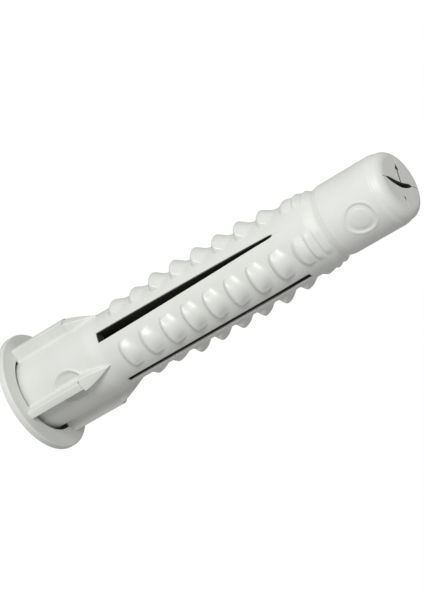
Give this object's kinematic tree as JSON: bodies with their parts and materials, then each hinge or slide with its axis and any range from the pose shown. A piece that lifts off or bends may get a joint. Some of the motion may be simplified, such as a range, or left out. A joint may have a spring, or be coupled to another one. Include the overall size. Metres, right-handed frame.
{
  "type": "wall anchor",
  "caption": "Moulded plastic wall plug with a collar, anti-rotation fins, toothed legs that bow outwards and a closed tip with petals.",
  "frame": {"origin": "centre of the collar's outer face, where the screw goes in", "axes": "+Z along the plug from the collar to the tip; the legs, teeth and fins a, b, c and d lie on +X, +Y, -X and -Y"},
  "size_m": [0.0164, 0.0164, 0.0576],
  "materials": {
    "plastic": "satin moulded polyamide, light warm grey"
  },
  "bodies": {
    "plug_head": {"collar": "plastic", "neck_sleeve": "plastic", "fin_a": "plastic", "fin_b": "plastic", "fin_c": "plastic", "fin_d": "plastic"},
    "leg_a_root": {"leg_a_root": "plastic"},
    "leg_b_root": {"leg_b_root": "plastic"},
    "leg_c_root": {"leg_c_root": "plastic"},
    "leg_d_root": {"leg_d_root": "plastic"},
    "leg_a_tip": {"leg_a_tip": "plastic"},
    "leg_b_tip": {"leg_b_tip": "plastic"},
    "leg_c_tip": {"leg_c_tip": "plastic"},
    "leg_d_tip": {"leg_d_tip": "plastic"},
    "plug_tip": {"leg_tie_ring": "plastic", "tip_barrel": "plastic"},
    "petal_a": {"tip_petal_a": "plastic"},
    "petal_b": {"tip_petal_b": "plastic"},
    "petal_c": {"tip_petal_c": "plastic"},
    "petal_d": {"tip_petal_d": "plastic"}
  },
  "joints": [
    {"name": "leg_a_bow", "type": "hinge", "parent": "plug_head", "child": "leg_a_root", "pos_m": [0.00495, 0, 0.0138], "axis": [0, 1, 0], "range_deg": [0, 6], "stiffness_Nm_per_rad": 0.001},
    {"name": "leg_b_bow", "type": "hinge", "parent": "plug_head", "child": "leg_b_root", "pos_m": [0, 0.00495, 0.0138], "axis": [-1, 0, 0], "range_deg": [0, 6], "stiffness_Nm_per_rad": 0.001},
    {"name": "leg_c_bow", "type": "hinge", "parent": "plug_head", "child": "leg_c_root", "pos_m": [-0.00495, 0, 0.0138], "axis": [0, -1, 0], "range_deg": [0, 6], "stiffness_Nm_per_rad": 0.001},
    {"name": "leg_d_bow", "type": "hinge", "parent": "plug_head", "child": "leg_d_root", "pos_m": [0, -0.00495, 0.0138], "axis": [1, 0, 0], "range_deg": [0, 6], "stiffness_Nm_per_rad": 0.001},
    {"name": "leg_a_knee", "type": "hinge", "parent": "leg_a_root", "child": "leg_a_tip", "pos_m": [0.00495, 0, 0.02891], "axis": [0, 1, 0], "range_deg": [-12.9, 0], "stiffness_Nm_per_rad": 0.0005},
    {"name": "leg_b_knee", "type": "hinge", "parent": "leg_b_root", "child": "leg_b_tip", "pos_m": [0, 0.00495, 0.02891], "axis": [-1, 0, 0], "range_deg": [-12.9, 0], "stiffness_Nm_per_rad": 0.0005},
    {"name": "leg_c_knee", "type": "hinge", "parent": "leg_c_root", "child": "leg_c_tip", "pos_m": [-0.00495, 0, 0.02891], "axis": [0, -1, 0], "range_deg": [-12.9, 0], "stiffness_Nm_per_rad": 0.0005},
    {"name": "leg_d_knee", "type": "hinge", "parent": "leg_d_root", "child": "leg_d_tip", "pos_m": [0, -0.00495, 0.02891], "axis": [1, 0, 0], "range_deg": [-12.9, 0], "stiffness_Nm_per_rad": 0.0005},
    {"name": "tip_draw", "type": "slide", "parent": "plug_head", "child": "plug_tip", "axis": [0, 0, -1], "range_m": [0, 0.000172]},
    {"name": "petal_a_open", "type": "hinge", "parent": "plug_tip", "child": "petal_a", "pos_m": [0.0026, 0, 0.0576], "axis": [0, 1, 0], "range_deg": [0, 35], "stiffness_Nm_per_rad": 0.0000004},
    {"name": "petal_b_open", "type": "hinge", "parent": "plug_tip", "child": "petal_b", "pos_m": [0, 0.0026, 0.0576], "axis": [-1, 0, 0], "range_deg": [0, 35], "stiffness_Nm_per_rad": 0.0000004},
    {"name": "petal_c_open", "type": "hinge", "parent": "plug_tip", "child": "petal_c", "pos_m": [-0.0026, 0, 0.0576], "axis": [0, -1, 0], "range_deg": [0, 35], "stiffness_Nm_per_rad": 0.0000004},
    {"name": "petal_d_open", "type": "hinge", "parent": "plug_tip", "child": "petal_d", "pos_m": [0, -0.0026, 0.0576], "axis": [1, 0, 0], "range_deg": [0, 35], "stiffness_Nm_per_rad": 0.0000004}
  ],
  "couplings": [
    {"joint": "leg_a_bow", "follows": "tip_draw", "rad_per_m": 606.06},
    {"joint": "leg_b_bow", "follows": "tip_draw", "rad_per_m": 606.06},
    {"joint": "leg_c_bow", "follows": "tip_draw", "rad_per_m": 606.06},
    {"joint": "leg_d_bow", "follows": "tip_draw", "rad_per_m": 606.06},
    {"joint": "leg_a_knee", "follows": "tip_draw", "rad_per_m": -1300.3},
    {"joint": "leg_b_knee", "follows": "tip_draw", "rad_per_m": -1300.3},
    {"joint": "leg_c_knee", "follows": "tip_draw", "rad_per_m": -1300.3},
    {"joint": "leg_d_knee", "follows": "tip_draw", "rad_per_m": -1300.3},
    {"joint": "petal_b_open", "follows": "petal_a_open", "ratio": 1},
    {"joint": "petal_c_open", "follows": "petal_a_open", "ratio": 1},
    {"joint": "petal_d_open", "follows": "petal_a_open", "ratio": 1}
  ]
}
